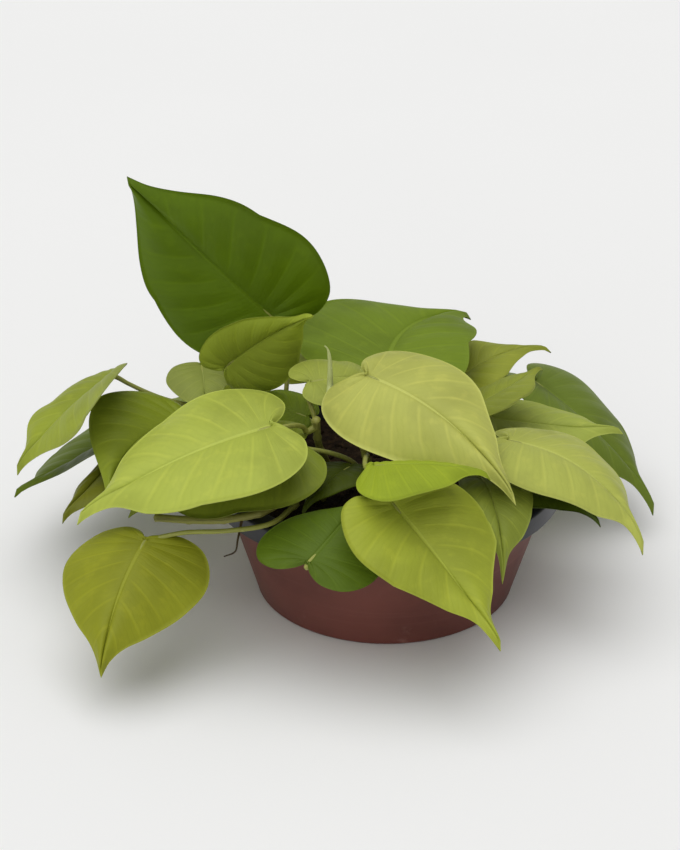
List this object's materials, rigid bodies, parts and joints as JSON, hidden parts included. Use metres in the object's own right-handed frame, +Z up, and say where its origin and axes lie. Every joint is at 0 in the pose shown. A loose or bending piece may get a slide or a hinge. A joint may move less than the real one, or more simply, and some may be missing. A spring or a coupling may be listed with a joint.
{
  "type": "potted heartleaf philodendron",
  "caption": "Potted heartleaf philodendron: heart-shaped leaves on short vines, in a dark growing pot that hangs by its rolled rim in a low outer pot.",
  "frame": {"origin": "centre of the outer pot's flat underside, on the surface it stands on", "axes": "+Z up along the pots' axis, -Y towards the plant's front as pictured, +X to the right seen from the front"},
  "size_m": [0.3205, 0.2885, 0.1811],
  "materials": {
    "outer_pot": "satin dark terracotta",
    "growing_pot": "satin dark blue-black",
    "soil": "crumbly peat",
    "vine": "living stem, satin",
    "leaf_pale": "living leaf, satin",
    "leaf_lime": "living leaf, satin",
    "leaf_green": "living leaf, satin",
    "leaf_deep": "living leaf, satin"
  },
  "bodies": {
    "root": {"pot": "outer_pot", "growing_pot": "growing_pot", "soil": "soil", "vine_front_left": "vine", "vine_left": "vine", "vine_middle_left": "vine", "vine_middle": "vine", "vine_front": "vine", "vine_right": "vine", "vine_back_right": "vine", "vine_back_left": "vine", "vine_back": "vine", "leaf_01": "leaf_deep", "leaf_02": "leaf_green", "leaf_03": "leaf_lime", "leaf_04": "leaf_green", "leaf_05": "leaf_lime", "leaf_06": "leaf_deep", "leaf_07": "leaf_green", "leaf_08": "leaf_pale", "leaf_09": "leaf_pale", "leaf_10": "leaf_green", "leaf_11": "leaf_green", "leaf_12": "leaf_lime", "leaf_13": "leaf_lime", "leaf_14": "leaf_lime", "leaf_15": "leaf_lime", "leaf_16": "leaf_green", "leaf_17": "leaf_lime", "leaf_18": "leaf_lime", "leaf_19": "leaf_lime", "leaf_20": "leaf_lime", "leaf_21": "leaf_deep", "leaf_22": "leaf_deep", "leaf_23": "leaf_deep", "leaf_24": "leaf_deep", "leaf_25": "leaf_green", "leaf_26": "leaf_lime", "leaf_27": "leaf_pale", "leaf_28": "leaf_lime", "leaf_29": "leaf_green", "leaf_30": "leaf_green"}
  },
  "joints": []
}
